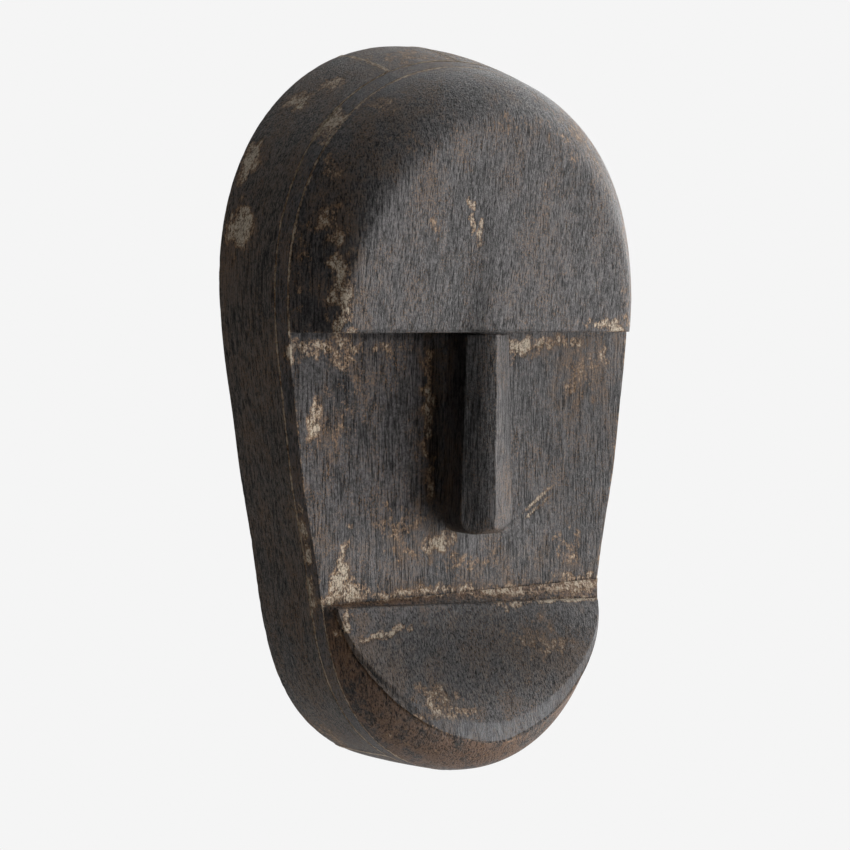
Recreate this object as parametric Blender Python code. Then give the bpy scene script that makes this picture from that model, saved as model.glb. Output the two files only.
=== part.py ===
"""A carved wooden wall mask: a hollow shell of glued boards closed by a thin face board, with a forehead block,
a nose, a jaw block and a chin plate glued on the front, and a ring hanger let into a cross board at the back.

The frame: +Z is up, the face looks along -Y, +X is at the right of someone who faces the mask. The origin is on the
flat back, on the cross board, level with the brow. Every size below is in millimetres.
"""

import math

import bmesh
import bpy
from mathutils import Matrix, Vector

METRES = 0.001
GAP = 0.3
FULL_TURN = 2 * math.pi

# The outline of the face board's front, in polar form: a mean radius and cosine waves of the angle from straight up.
# The first wave makes the egg, the second stretches it, and the small ones flatten the cheeks and square the jaw.
OUTLINE_CENTRE_Z = -76.0
OUTLINE_MEAN = 150.1
OUTLINE_WAVES = (25.8, 44.7, 1.7, 2.1, -0.9, -1.9)

# How much further out the back of the shell stands than the face board, as waves of the same angle.
FLARE_MEAN = 6.5
FLARE_WAVES = (5.5, 3.8, 1.2)
FLARE_ROUNDNESS = 1.6

BODY_DEPTH = 60.0
FACE_BOARD = 10.0
SHELL_WALL = 24.0
CROWN_JOINT_X = 47.0

BROW_Z = 0.0
FOREHEAD_RISE = 23.2
FOREHEAD_LEAN = 0.125
FOREHEAD_HALF_WIDTH = 99.6
FOREHEAD_HEIGHT = 116.0
FOREHEAD_POWER = 1.88
FOREHEAD_BULGE = 0.13

MOUTH_Z = -144.0
JAW_RISE = 2.0
CHIN_SLOPE = 0.37
JAW_HALF_WIDTH = 91.5
JAW_HEIGHT = 80.0
JAW_POWER = 1.73
JAW_BULGE = 0.13
MOUTH_DROP = 1.0
MOUTH_SLANT = 0.05
CHIN_PLATE = 2.5
CHIN_BEVEL = 11.0
CHIN_SIDE_INSET = 1.5

NOSE_LENGTH = 110.5
NOSE_TOP_HALF = 15.3
NOSE_FOOT_HALF = 18.5
NOSE_WALL = 17.5
NOSE_RIDGE = 25.5
NOSE_CORNER = 11.0
NOSE_CORNER_STEPS = 4
NOSE_FOOT_SLOPE = 3.5

CROSS_BOARD = 18.0
CROSS_BOARD_LOW = -12.0
CROSS_BOARD_HIGH = 62.0
POCKET_DEPTH = 7.0
POCKET_HALF = 14.0
POCKET_LOW = 9.0

RING_PIVOT_Z = 44.0
RING_WIRE = 2.4
RING_HALF = 8.5
RING_DROP = 15.0
RING_CORNER = 3.0
BOW_STEPS = 24
CORNER_STEPS = 3
STRAP_HALF = 5.0
STRAP_SHEET = 1.2
STRAP_LENGTH = 32.0
STRAP_BORE = RING_WIRE / 2 + GAP
STRAP_CURL = math.radians(270)
CURL_STEPS = 18
SCREW_DROPS = (19.0, 27.5)
SCREW_SHANK = 1.6
SCREW_LENGTH = 9.0
SCREW_HEAD = 3.2
SCREW_HEAD_RISE = 1.6
SCREW_POINT = 3.0
SCREW_TIP = 0.4
SCREW_HEAD_TOP = 0.7
CUT_OVER = 2.0

ARC_STATIONS = 48
FACE_STATIONS = 144
SHORT_STATIONS = 8
SHELL_RINGS = 4
SHOULDER_RINGS = 4
WIRE_SIDES = 8
ROUND_SIDES = 16
SMOOTH_ANGLE = math.radians(35)


def clear_scene():
    """Removes every object that the file opened with."""
    for old in list(bpy.data.objects):
        bpy.data.objects.remove(old, do_unlink=True)


def make_material(name, colour, roughness, metallic=0.0):
    """A plain Principled material."""
    material = bpy.data.materials.new(name)
    material.use_nodes = True
    shader = material.node_tree.nodes["Principled BSDF"]
    shader.inputs["Base Color"].default_value = (*colour, 1.0)
    shader.inputs["Roughness"].default_value = roughness
    shader.inputs["Metallic"].default_value = metallic
    return material


def add_object(name, bm, material, place=(0.0, 0.0, 0.0)):
    """Turns a bmesh in millimetres into an object at a place, shaded smooth but for its sharp edges."""
    bmesh.ops.recalc_face_normals(bm, faces=bm.faces)
    bmesh.ops.scale(bm, vec=(METRES, METRES, METRES), verts=bm.verts)
    mesh = bpy.data.meshes.new(name)
    bm.to_mesh(mesh)
    bm.free()
    mesh.materials.append(material)
    mesh.shade_smooth()
    mesh.set_sharp_from_angle(angle=SMOOTH_ANGLE)
    piece = bpy.data.objects.new(name, mesh)
    piece.location = Vector(place) * METRES
    bpy.context.scene.collection.objects.link(piece)
    return piece


def loft(loops, joined=False):
    """Skins loops of equally many points; the two ends are capped unless the last loop joins the first."""
    bm = bmesh.new()
    rows = [[bm.verts.new(point) for point in loop] for loop in loops]
    pairs = list(zip(rows, rows[1:]))
    if joined:
        pairs.append((rows[-1], rows[0]))
    for row, following in pairs:
        for i in range(len(row)):
            j = (i + 1) % len(row)
            bm.faces.new((row[i], row[j], following[j], following[i]))
    if not joined:
        bm.faces.new(rows[0])
        bm.faces.new(rows[-1])
    return bm


def solve(function, low, high):
    """The place between low and high where a rising function passes zero."""
    for _ in range(50):
        middle = (low + high) / 2
        if function(middle) < 0:
            low = middle
        else:
            high = middle
    return (low + high) / 2


def waves(mean, heights, angle):
    """A mean value and its cosine waves at an angle."""
    return mean + sum(height * math.cos(k * angle) for k, height in enumerate(heights, start=1))


def skin_radius(angle, behind):
    """The outer skin's distance from the outline's centre, so far behind the front of the face board."""
    spread = 1 - (1 - behind / BODY_DEPTH) ** FLARE_ROUNDNESS
    return waves(OUTLINE_MEAN, OUTLINE_WAVES, angle) + spread * waves(FLARE_MEAN, FLARE_WAVES, angle)


def hollow_radius(angle, behind):
    """The shell's inner wall, which runs straight back and so is the same at every depth."""
    return skin_radius(angle, 0.0) - SHELL_WALL


def polar_point(radius, angle, behind):
    """A point at an angle from straight up, so far behind the front of the face board."""
    reach = radius(angle, behind)
    return Vector((reach * math.sin(angle), behind - BODY_DEPTH, reach * math.cos(angle) + OUTLINE_CENTRE_Z))


def angle_at_x(radius, behind, x, at_crown):
    """The angle at which a wall passes x, on the crown or under the chin."""
    sign = 1 if at_crown else -1
    middle = 0.0 if at_crown else math.pi

    def beyond(turn):
        return polar_point(radius, middle + sign * turn, behind).x - x

    return middle + sign * solve(beyond, -math.pi / 4, math.pi / 4)


def angle_at_z(radius, z):
    """The angle at which the right-hand side of a wall passes a height."""
    return solve(lambda angle: z - polar_point(radius, angle, 0.0).z, 0.0, math.pi)


def shell_board(side, start, end, stations):
    """One board of the shell, from one glue joint to another; each joint is a (x, at_crown) pair."""
    front = FACE_BOARD + GAP
    depths = [front + (BODY_DEPTH - front) * k / SHELL_RINGS for k in range(SHELL_RINGS + 1)]
    walls = [(skin_radius, depth) for depth in depths]
    walls += [(hollow_radius, BODY_DEPTH), (hollow_radius, front)]
    loops = []
    for station in range(stations + 1):
        loop = []
        for radius, behind in walls:
            first = angle_at_x(radius, behind, *start)
            last = angle_at_x(radius, behind, *end)
            point = polar_point(radius, first + (last - first) * station / stations, behind)
            point.x *= side
            loop.append(point)
        loops.append(loop)
    return loft(loops)


def make_shell(wood):
    """The hollow shell: a crown, a side and a jaw board on each side of the middle."""
    half_gap = GAP / 2
    outer = CROWN_JOINT_X + half_gap
    inner = CROWN_JOINT_X - half_gap
    boards = {
        "crown_board": ((half_gap, True), (inner, True), SHORT_STATIONS),
        "side_board": ((outer, True), (outer, False), ARC_STATIONS),
        "jaw_board": ((inner, False), (half_gap, False), SHORT_STATIONS),
    }
    for word, side in (("left", -1), ("right", 1)):
        for name, (start, end, stations) in boards.items():
            add_object(f"{name}_{word}", shell_board(side, start, end, stations), wood)


def make_face_board(wood):
    """The board whose front is the plane of the cheeks."""
    angles = [FULL_TURN * k / FACE_STATIONS for k in range(FACE_STATIONS)]
    depths = (0.0, FACE_BOARD / 2, FACE_BOARD)
    loops = [[polar_point(skin_radius, angle, behind) for angle in angles] for behind in depths]
    add_object("face_board", loft(loops), wood)


def rim_arc(low, high):
    """Points along the face outline between two angles, on the glue face in front of the face board."""
    angles = [low + (high - low) * k / ARC_STATIONS for k in range(ARC_STATIONS + 1)]
    return [polar_point(skin_radius, angle, 0.0) + Vector((0.0, -GAP, 0.0)) for angle in angles]


def oval_reach(turn, half_width, height, power):
    """How far a flattened oval reaches from its centre, at a turn from its tall axis."""
    across = abs(math.sin(turn) / half_width) ** power
    along = abs(math.cos(turn) / height) ** power
    return (across + along) ** (-1 / power)


def shoulder(rim, crest, centre_z, bulge):
    """Loops from a rim to a crest, bowed outwards by a share of their distance, and less so towards the ends."""
    loops = []
    for ring in range(SHOULDER_RINGS + 1):
        share = ring / SHOULDER_RINGS
        loop = []
        for low, high in zip(rim, crest):
            outward = Vector((low.x, 0.0, low.z - centre_z)).normalized()
            chord = high - low
            bow = (outward * abs(chord.y) + Vector((0.0, chord.dot(outward), 0.0))).normalized()
            height = bulge * abs(outward.z) * chord.length * math.sin(math.pi * share)
            loop.append(low + chord * share + bow * height)
        for end in (0, -1):
            loop[end].z = rim[end].z + (crest[end].z - rim[end].z) * share
        loops.append(loop)
    return loops


def make_forehead_block(wood):
    """The block above the brow: a flat front inside a sloped shoulder, square along the brow."""
    edge = angle_at_z(skin_radius, BROW_Z)
    rim = rim_arc(-edge, edge)
    crest = []
    for point in rim:
        turn = math.atan2(point.x, point.z - BROW_Z)
        reach = oval_reach(turn, FOREHEAD_HALF_WIDTH, FOREHEAD_HEIGHT, FOREHEAD_POWER)
        z = BROW_Z + reach * math.cos(turn)
        y = -(BODY_DEPTH + FOREHEAD_RISE + FOREHEAD_LEAN * (z - BROW_Z))
        crest.append(Vector((reach * math.sin(turn), y, z)))
    add_object("forehead_block", loft(shoulder(rim, crest, BROW_Z, FOREHEAD_BULGE)), wood)


def mouth_rim():
    """The face outline below the mouth, from the right-hand corner round the chin to the left-hand one."""
    edge = angle_at_z(skin_radius, MOUTH_Z)
    return rim_arc(edge, FULL_TURN - edge)


def chin_loop(rim, half_width, height, rise):
    """A loop on the sloped front of the chin, under a mouth edge that slants down to the right."""
    loop = []
    for point in rim:
        turn = math.atan2(point.x, MOUTH_Z - point.z)
        reach = oval_reach(turn, half_width, height, JAW_POWER)
        x = reach * math.sin(turn)
        below = max(reach * math.cos(turn), 0.0)
        drop = (MOUTH_DROP + MOUTH_SLANT * (x + half_width)) * (1 - below / height)
        z = MOUTH_Z - below - drop
        loop.append(Vector((x, -(BODY_DEPTH + rise + CHIN_SLOPE * (MOUTH_Z - z)), z)))
    return loop


def make_jaw_block(wood):
    """The wedge below the mouth, deepest at the chin, with a rounded shoulder."""
    rim = mouth_rim()
    crest = chin_loop(rim, JAW_HALF_WIDTH, JAW_HEIGHT, JAW_RISE)
    add_object("jaw_block", loft(shoulder(rim, crest, MOUTH_Z, JAW_BULGE)), wood)


def make_chin_plate(wood):
    """The dark plate on the jaw block's front, bevelled along its lower edge."""
    rim = mouth_rim()
    back = chin_loop(rim, JAW_HALF_WIDTH, JAW_HEIGHT, JAW_RISE + GAP)
    front_half = JAW_HALF_WIDTH - CHIN_SIDE_INSET
    front = chin_loop(rim, front_half, JAW_HEIGHT - CHIN_BEVEL, JAW_RISE + CHIN_PLATE)
    add_object("chin_plate", loft([back, front]), wood)


def make_nose(wood):
    """The nose: two walls, two facets that meet in a ridge, and a foot with rounded corners."""
    top = BROW_Z - GAP
    foot = top - NOSE_LENGTH
    base = -(BODY_DEPTH + GAP)
    outline = [(-NOSE_TOP_HALF, top), (NOSE_TOP_HALF, top)]
    for k in range(NOSE_CORNER_STEPS + 1):
        turn = math.pi / 2 * k / NOSE_CORNER_STEPS
        x = NOSE_FOOT_HALF - NOSE_CORNER * (1 - math.cos(turn))
        z = foot + NOSE_CORNER * (1 - math.sin(turn))
        outline += [(-x, z), (x, z)]
    bm = bmesh.new()
    for x, z in outline:
        bm.verts.new((x, base, z))
        bm.verts.new((x, -(BODY_DEPTH + NOSE_WALL), z))
    for z in (top, foot + NOSE_FOOT_SLOPE):
        bm.verts.new((0.0, -(BODY_DEPTH + NOSE_RIDGE), z))
    bmesh.ops.convex_hull(bm, input=bm.verts)
    add_object("nose", bm, wood)


def box(low, high):
    """A box between two corners."""
    bm = bmesh.new()
    bmesh.ops.create_cube(bm, size=1.0)
    size = Vector(high) - Vector(low)
    middle = (Vector(high) + Vector(low)) / 2
    bmesh.ops.transform(bm, matrix=Matrix.Translation(middle) @ Matrix.Diagonal((*size, 1.0)), verts=bm.verts)
    return bm


def turned(profile, z):
    """A round piece about a line along Y in the middle plane, at a height, from (radius, y) pairs."""
    turns = [FULL_TURN * k / ROUND_SIDES for k in range(ROUND_SIDES)]
    loops = [[Vector((r * math.cos(turn), y, z + r * math.sin(turn))) for turn in turns] for r, y in profile]
    return loft(loops)


def cut(piece, name, bm):
    """Cuts a shape out of a piece."""
    cutter = add_object(name, bm, piece.data.materials[0])
    cutter.hide_render = True
    cutter.display_type = "WIRE"
    modifier = piece.modifiers.new(name, "BOOLEAN")
    modifier.object = cutter
    modifier.operation = "DIFFERENCE"
    modifier.solver = "EXACT"


def make_cross_board(wood):
    """The board across the hollow, flush with the back, with a pocket for the hanger and its screw holes."""
    ends = [angle_at_z(hollow_radius, z) for z in (CROSS_BOARD_LOW, CROSS_BOARD_HIGH)]
    half = min(polar_point(hollow_radius, end, 0.0).x for end in ends) - 2 * GAP
    board = add_object(
        "cross_board", box((-half, -CROSS_BOARD, CROSS_BOARD_LOW), (half, 0.0, CROSS_BOARD_HIGH)), wood
    )
    pocket_top = CROSS_BOARD_HIGH + CUT_OVER
    pocket = box((-POCKET_HALF, -POCKET_DEPTH, POCKET_LOW), (POCKET_HALF, CUT_OVER, pocket_top))
    cut(board, "pocket_cutter", pocket)
    radius = SCREW_SHANK + GAP
    ends = (-POCKET_DEPTH - SCREW_LENGTH - GAP, -POCKET_DEPTH + CUT_OVER)
    for number, drop in enumerate(SCREW_DROPS, start=1):
        hole = turned([(radius, y) for y in ends], RING_PIVOT_Z - drop)
        cut(board, f"pilot_cutter_{number}", hole)


def pivot():
    """The middle of the ring's hinge line."""
    return Vector((0.0, -POCKET_DEPTH + GAP + STRAP_SHEET + STRAP_BORE, RING_PIVOT_Z))


def make_hanger_strap(steel):
    """The strap: a flat strip whose upper end is curled round the ring's straight side."""
    outer = STRAP_BORE + STRAP_SHEET
    turns = [STRAP_CURL * k / CURL_STEPS for k in range(CURL_STEPS + 1)]
    curl_out = [(-outer * math.cos(turn), outer * math.sin(turn)) for turn in turns]
    curl_in = [(-STRAP_BORE * math.cos(turn), STRAP_BORE * math.sin(turn)) for turn in reversed(turns)]
    outline = [(-outer, -STRAP_LENGTH)] + curl_out + curl_in + [(-STRAP_BORE, -STRAP_LENGTH)]
    loops = [[Vector((x, y, z)) for y, z in outline] for x in (-STRAP_HALF, STRAP_HALF)]
    strap = add_object("hanger_strap", loft(loops), steel, pivot())
    sheet_y = pivot().y - outer
    radius = SCREW_SHANK + GAP
    for number, drop in enumerate(SCREW_DROPS, start=1):
        hole = turned([(radius, sheet_y - CUT_OVER), (radius, sheet_y + CUT_OVER)], RING_PIVOT_Z - drop)
        cut(strap, f"strap_hole_cutter_{number}", hole)


def make_hanger_ring(steel):
    """The ring: a straight side in the strap's curl and a round bow that hangs below it."""
    bow = RING_DROP - RING_WIRE / 2 - RING_CORNER
    turns = [math.pi * k / BOW_STEPS for k in range(BOW_STEPS + 1)]
    path = [(RING_HALF * math.cos(turn), -RING_CORNER - bow * math.sin(turn)) for turn in turns]
    bends = [math.pi / 2 * k / CORNER_STEPS for k in range(1, CORNER_STEPS + 1)]
    corner = [
        (RING_HALF - RING_CORNER * (1 - math.cos(turn)), -RING_CORNER * (1 - math.sin(turn))) for turn in bends
    ]
    path += [(-x, z) for x, z in corner] + corner[::-1]
    loops = []
    for i, (x, z) in enumerate(path):
        before = path[i - 1]
        after = path[(i + 1) % len(path)]
        along = Vector((after[0] - before[0], 0.0, after[1] - before[1])).normalized()
        across = along.cross(Vector((0.0, 1.0, 0.0)))
        loop = []
        for k in range(WIRE_SIDES):
            turn = FULL_TURN * k / WIRE_SIDES
            offset = across * math.cos(turn) + Vector((0.0, 1.0, 0.0)) * math.sin(turn)
            loop.append(Vector((x, 0.0, z)) + offset * RING_WIRE / 2)
        loops.append(loop)
    add_object("hanger_ring", loft(loops, joined=True), steel, pivot())


def make_screws(steel):
    """The strap's two pan-head screws, one above the other."""
    head_y = pivot().y - STRAP_BORE + GAP
    for word, drop in zip(("upper", "lower"), SCREW_DROPS):
        profile = (
            (SCREW_TIP, -POCKET_DEPTH - SCREW_LENGTH),
            (SCREW_SHANK, -POCKET_DEPTH - SCREW_LENGTH + SCREW_POINT),
            (SCREW_SHANK, head_y),
            (SCREW_HEAD, head_y),
            (SCREW_HEAD, head_y + SCREW_HEAD_RISE / 2),
            (SCREW_HEAD * SCREW_HEAD_TOP, head_y + SCREW_HEAD_RISE),
        )
        add_object(f"hanger_screw_{word}", turned(profile, RING_PIVOT_Z - drop), steel)


def main():
    """Builds the mask."""
    clear_scene()
    dark_wood = make_material("dark_wood", (0.075, 0.062, 0.055), 0.6)
    side_wood = make_material("side_wood", (0.045, 0.032, 0.024), 0.5)
    jaw_wood = make_material("jaw_wood", (0.085, 0.055, 0.036), 0.5)
    back_wood = make_material("back_wood", (0.30, 0.20, 0.12), 0.75)
    steel = make_material("zinc_steel", (0.55, 0.54, 0.52), 0.35, 1.0)
    make_shell(side_wood)
    make_face_board(dark_wood)
    make_forehead_block(dark_wood)
    make_nose(dark_wood)
    make_jaw_block(jaw_wood)
    make_chin_plate(dark_wood)
    make_cross_board(back_wood)
    make_hanger_strap(steel)
    make_hanger_ring(steel)
    make_screws(steel)


main()
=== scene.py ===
"""Looks of the carved wooden wall mask: worn, dark-stained boards around a flat face, in a pale studio.

The outer wood is built again here from the same outline as the CAD part, much finer, with softened edges,
nicks and hand-planed unevenness, which only ever go inwards. Millimetres are used until a mesh is made. +Z is
up and the face looks along -Y.
"""

import math

import bmesh
import bpy
import numpy as np
from mathutils import Matrix, Vector, noise

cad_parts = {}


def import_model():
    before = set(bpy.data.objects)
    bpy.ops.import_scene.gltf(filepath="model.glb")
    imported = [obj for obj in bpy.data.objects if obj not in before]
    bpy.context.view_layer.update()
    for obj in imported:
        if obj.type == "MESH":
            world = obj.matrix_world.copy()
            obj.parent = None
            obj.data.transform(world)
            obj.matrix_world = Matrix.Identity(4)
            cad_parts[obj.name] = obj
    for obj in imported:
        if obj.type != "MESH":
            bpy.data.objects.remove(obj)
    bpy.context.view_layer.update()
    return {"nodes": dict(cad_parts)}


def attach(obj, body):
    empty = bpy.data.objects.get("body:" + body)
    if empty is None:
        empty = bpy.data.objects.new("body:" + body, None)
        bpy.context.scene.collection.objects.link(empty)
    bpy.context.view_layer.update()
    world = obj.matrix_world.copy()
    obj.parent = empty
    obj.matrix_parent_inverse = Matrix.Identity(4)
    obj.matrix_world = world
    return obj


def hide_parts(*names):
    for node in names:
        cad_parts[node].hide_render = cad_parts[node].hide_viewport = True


METRES = 0.001
GAP = 0.3
FULL_TURN = 2 * math.pi

# The outline of the face, as cosine waves of the angle from straight up, and the shell's flare behind it.
OUTLINE_CENTRE_Z = -76.0
OUTLINE_MEAN = 150.1
OUTLINE_WAVES = (25.8, 44.7, 1.7, 2.1, -0.9, -1.9)
FLARE_MEAN = 6.5
FLARE_WAVES = (5.5, 3.8, 1.2)
FLARE_ROUNDNESS = 1.6
BODY_DEPTH = 60.0
FACE_BOARD = 10.0
SHELL_WALL = 24.0
CROWN_JOINT_X = 47.0

BROW_Z = 0.0
FOREHEAD_RISE = 23.2
FOREHEAD_LEAN = 0.125
FOREHEAD_HALF_WIDTH = 99.6
FOREHEAD_HEIGHT = 116.0
FOREHEAD_POWER = 1.88
SHOULDER_BULGE = 0.13

MOUTH_Z = -144.0
JAW_RISE = 2.0
CHIN_SLOPE = 0.37
JAW_HALF_WIDTH = 91.5
JAW_HEIGHT = 80.0
JAW_POWER = 1.73
MOUTH_DROP = 1.0
MOUTH_SLANT = 0.05
CHIN_PLATE = 2.5
CHIN_BEVEL = 11.0
CHIN_SIDE_INSET = 1.5

NOSE_LENGTH = 110.5
NOSE_TOP_HALF = 15.3
NOSE_FOOT_HALF = 18.5
NOSE_WALL = 17.5
NOSE_RIDGE = 25.5
NOSE_CORNER = 11.0
NOSE_CORNER_STEPS = 8
NOSE_FOOT_SLOPE = 3.5
NOSE_VOXEL = 0.7
NOSE_SMOOTHING = 3

# Radii of the softened edges, and how often the corner of a crest is averaged away.
SEAM_EDGE = 0.35
BACK_EDGE = 1.6
BROW_EDGE = 1.1
MOUTH_EDGE = 0.9
CREST_SOFTNESS = 26
JAW_CREST_SOFTNESS = 3
CHIN_CREST_SOFTNESS = 1

# Unevenness of the surface, from long hand-planed waves to nicks in the edges.
WAVER_DEPTH = 0.45
WAVER_SIZE = 38.0
RIPPLE_DEPTH = 0.10
RIPPLE_SIZE = 9.0
NICK_DEPTH = 0.9
NICK_SIZE = 5.0
MARK_DEPTH = 0.25
CRACK_DEPTH = 0.5
CRACK_WIDTH = 0.9
SHARP_ANGLE = 50
EDGE_FULL = 0.16
BLUR_PASSES = 2

# How ragged the wear marks are, how the stain differs at the sides, the back rim and the seams, and the
# painted light on the chin plate's lower bevel.
RAGGEDNESS = 1.1
RAGGED_SIZE = 6.0
NO_DRIFT = (0.0, 0.0)
SIDE_BROWN = 0.42
SHOULDER_DARK = 0.30
BACK_DARK = 3.0
# Painted light on the chin plate's lower bevel: how far its faces tilt down, how strong it is, and where
# along x it starts and how far it grows.
LIT_BEVEL_TILT = 0.30
LIT_BEVEL_STRENGTH = 0.75
LIT_BEVEL_START_X = -62.0
LIT_BEVEL_RUN = 45.0
SEAM_SKIN = 1.5
SEAM_SPREAD = 0.5
RIM_SEAM = 0.3
JOINT_SKIN = 2.0
JOINT_TILT = 0.35
BOARD_BEVEL = 0.9
STEEL_BEVEL = 0.15
BEVEL_STEPS = 3
BEVEL_ANGLE = 40

TAN = (0.34, 0.19, 0.09)
PALE = (0.74, 0.62, 0.47)
BROWN = (0.088, 0.056, 0.036)
JAW_BROWN = (0.15, 0.070, 0.028)
# Painted light: the grey laid on the chin plate's downward-facing lower bevel.
PAINTED_LIGHT_GREY = (0.150, 0.150, 0.158)
CRACK_BLACK = (0.004, 0.003, 0.003)
FACE_GRAIN = (1250, 1250, 95)
SIDE_GRAIN = (1100, 1100, 70)

AZIMUTH = 36.5
ELEVATION = 3.385
ROLL = 0.30
TARGET = Vector((-0.0296, -0.060, -0.0504))
DISTANCE = 1.1015
SENSOR = 36.0
LENS = 85.4

# The studio, in metres and watts: each light's azimuth, elevation, distance, width, height and power.
BACKGROUND = 0.913
WORLD_SIDE = (1.0, 0.0, 0.35)
WORLD_RANGE = (0.52, 1.0)
WORLD_LIGHT = (0.07, 3.8)
FLOOR_Z = -1.2
FLOOR_RADIUS = 2.6
LIGHTS = {
    "key": (-57, -24, 1.5, 1.1, 1.2, 22.0),
    "left_fill": (96, 10, 1.6, 1.4, 1.6, 3.6),
    "top_fill": (165, 60, 1.6, 1.4, 1.4, 6.0),
}


# ---- The outline -------------------------------------------------------------------------------------


def waves(mean, heights, angle):
    """A mean value and its cosine waves at an angle."""
    return mean + sum(height * np.cos(k * angle) for k, height in enumerate(heights, start=1))


def skin_radius(angle, behind):
    """The outer skin's distance from the outline's centre, so far behind the front of the face board."""
    spread = 1 - (1 - behind / BODY_DEPTH) ** FLARE_ROUNDNESS
    return waves(OUTLINE_MEAN, OUTLINE_WAVES, angle) + spread * waves(FLARE_MEAN, FLARE_WAVES, angle)


def hollow_radius(angle, behind):
    """The shell's inner wall, which runs straight back and so is the same however far behind."""
    return skin_radius(angle, 0.0) - SHELL_WALL


def polar_points(radius, angles, behind, inset=0.0):
    """Points at angles from straight up, so far behind the face board's front, pulled in by an inset."""
    reach = radius(angles, behind) - inset
    y = np.full_like(angles, behind - BODY_DEPTH)
    return np.stack([reach * np.sin(angles), y, reach * np.cos(angles) + OUTLINE_CENTRE_Z], axis=-1)


def solve(function, low, high):
    """The place between low and high where a rising function passes zero."""
    for _ in range(40):
        middle = (low + high) / 2
        if function(middle) < 0:
            low = middle
        else:
            high = middle
    return (low + high) / 2


def angle_at_x(radius, behind, x, at_crown):
    """The angle at which a wall passes x, on the crown or under the chin."""
    sign = 1 if at_crown else -1
    middle = 0.0 if at_crown else math.pi
    return middle + sign * solve(
        lambda turn: radius(middle + sign * turn, behind) * math.sin(middle + sign * turn) - x,
        -math.pi / 4,
        math.pi / 4,
    )


def angle_at_z(z):
    """The angle at which the right-hand side of the face outline passes a height."""
    return solve(
        lambda angle: z - skin_radius(angle, 0.0) * math.cos(angle) - OUTLINE_CENTRE_Z,
        0.0,
        math.pi,
    )


# ---- Meshes ------------------------------------------------------------------------------------------


def grid_faces(index, closed_rows=False, closed_columns=False):
    """Quads between the neighbours of a grid of vertex numbers."""
    if closed_rows:
        index = np.vstack([index, index[:1]])
    if closed_columns:
        index = np.hstack([index, index[:, :1]])
    quads = np.stack([index[:-1, :-1], index[:-1, 1:], index[1:, 1:], index[1:, :-1]], axis=-1)
    return quads.reshape(-1, 4).tolist()


def new_mesh(name, points, faces):
    """A mesh object from points in millimetres, its doubled vertices joined and its normals outwards."""
    mesh = bpy.data.meshes.new(name)
    mesh.from_pydata((np.asarray(points) * METRES).tolist(), [], faces)
    bm = bmesh.new()
    bm.from_mesh(mesh)
    bmesh.ops.remove_doubles(bm, verts=bm.verts, dist=2e-6)
    bmesh.ops.recalc_face_normals(bm, faces=bm.faces)
    bm.to_mesh(mesh)
    bm.free()
    piece = bpy.data.objects.new(name, mesh)
    bpy.context.scene.collection.objects.link(piece)
    return piece


def quarter(steps):
    """Turns through a right angle."""
    return [math.pi / 2 * k / steps for k in range(steps + 1)]


def shell_profile():
    """The section of a shell board, as (wall, behind, inset), round from its front inner edge."""
    front = FACE_BOARD + GAP
    rows = [(hollow_radius, front, 0.0), (skin_radius, front, SEAM_EDGE + 4.0)]
    for turn in quarter(5):
        behind = front + SEAM_EDGE * (1 - math.cos(turn))
        rows.append((skin_radius, behind, SEAM_EDGE * (1 - math.sin(turn))))
    for behind in np.linspace(front + 1.2, BODY_DEPTH - BACK_EDGE - 1.0, 34):
        rows.append((skin_radius, behind, 0.0))
    for turn in quarter(6):
        behind = BODY_DEPTH - BACK_EDGE * (1 - math.sin(turn))
        rows.append((skin_radius, behind, BACK_EDGE * (1 - math.cos(turn))))
    for share in np.linspace(0.15, 0.85, 8):
        rows.append((skin_radius, BODY_DEPTH, BACK_EDGE + share * (SHELL_WALL - BACK_EDGE)))
    for turn in quarter(4):
        behind = BODY_DEPTH - BACK_EDGE * (1 - math.cos(turn))
        rows.append((hollow_radius, behind, -BACK_EDGE * (1 - math.sin(turn))))
    for behind in np.linspace(BODY_DEPTH - BACK_EDGE - 2.0, front + 4.0, 10):
        rows.append((hollow_radius, behind, 0.0))
    return rows


def shell_board(name, side, start, end, stations):
    """One board of the shell, from one glue joint to another; each joint is a (x, at_crown) pair."""
    rows = []
    for radius, behind, inset in shell_profile():
        first = angle_at_x(radius, behind, *start)
        last = angle_at_x(radius, behind, *end)
        points = polar_points(radius, np.linspace(first, last, stations + 1), behind, inset)
        rows.append(points * (side, 1, 1))
    points = np.concatenate(rows)
    index = np.arange(len(points)).reshape(len(rows), stations + 1)
    faces = grid_faces(index, closed_rows=True)
    faces += [index[:, 0].tolist(), index[:, -1].tolist()]
    return new_mesh(name, points, faces)


def shell_boards():
    """The crown, side and jaw boards, by CAD node name."""
    half_gap = GAP / 2
    outer = CROWN_JOINT_X + half_gap
    inner = CROWN_JOINT_X - half_gap
    spans = {
        "crown_board": ((half_gap, True), (inner, True), 40),
        "side_board": ((outer, True), (outer, False), 300),
        "jaw_board": ((inner, False), (half_gap, False), 40),
    }
    boards = {}
    for word, side in (("left", -1), ("right", 1)):
        for name, (start, end, stations) in spans.items():
            boards[f"{name}_{word}"] = shell_board(f"worn_{name}_{word}", side, start, end, stations)
    return boards


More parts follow.
